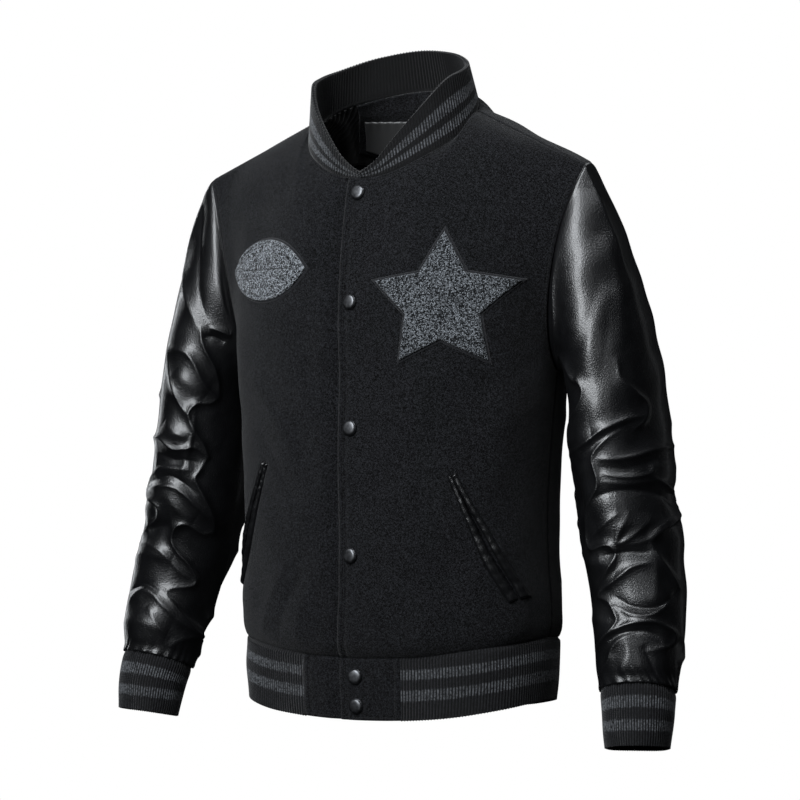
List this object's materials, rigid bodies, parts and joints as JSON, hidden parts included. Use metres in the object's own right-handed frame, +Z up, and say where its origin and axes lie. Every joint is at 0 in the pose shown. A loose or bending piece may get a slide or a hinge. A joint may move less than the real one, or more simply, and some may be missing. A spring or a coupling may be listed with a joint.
{
  "type": "varsity jacket",
  "caption": "Varsity jacket with a wool body, leather sleeves, striped rib collar, cuffs and hem, snap front and slanted welt pockets, filled out as if worn.",
  "frame": {"origin": "middle of the neck opening at the height of the side of the neck, where the wearer's neck and shoulders hold the jacket", "axes": "+Z up from hem to neck, front of the jacket faces -Y, the wearer's left is +X"},
  "size_m": [0.7074, 0.258, 0.791],
  "materials": {
    "wool": "black melton wool, matt",
    "leather": "black faux leather, glossy, fine grain",
    "rib": "black rib knit with two heather grey stripes",
    "felt": "dark grey felt",
    "chenille": "heather grey looped chenille",
    "metal": "dark gunmetal",
    "lining": "black satin",
    "label": "black satin, bare"
  },
  "bodies": {
    "root": {"back": "wool", "front_left": "wool", "front_right": "wool", "hem_tab_left": "wool", "hem_tab_right": "wool", "neck_facing": "wool", "sleeve_left_upper": "leather", "sleeve_left_lower": "leather", "sleeve_right_upper": "leather", "sleeve_right_lower": "leather", "pocket_left_front_lip": "leather", "pocket_left_back_lip": "leather", "pocket_right_front_lip": "leather", "pocket_right_back_lip": "leather", "collar": "rib", "cuff_left": "rib", "cuff_right": "rib", "hem_rib": "rib", "ball_felt": "felt", "star_felt": "felt", "ball_chenille": "chenille", "star_chenille": "chenille", "snap_1": "metal", "snap_2": "metal", "snap_3": "metal", "snap_4": "metal", "snap_5": "metal", "snap_6": "metal", "lining_back": "lining", "neck_label": "label"}
  },
  "joints": []
}
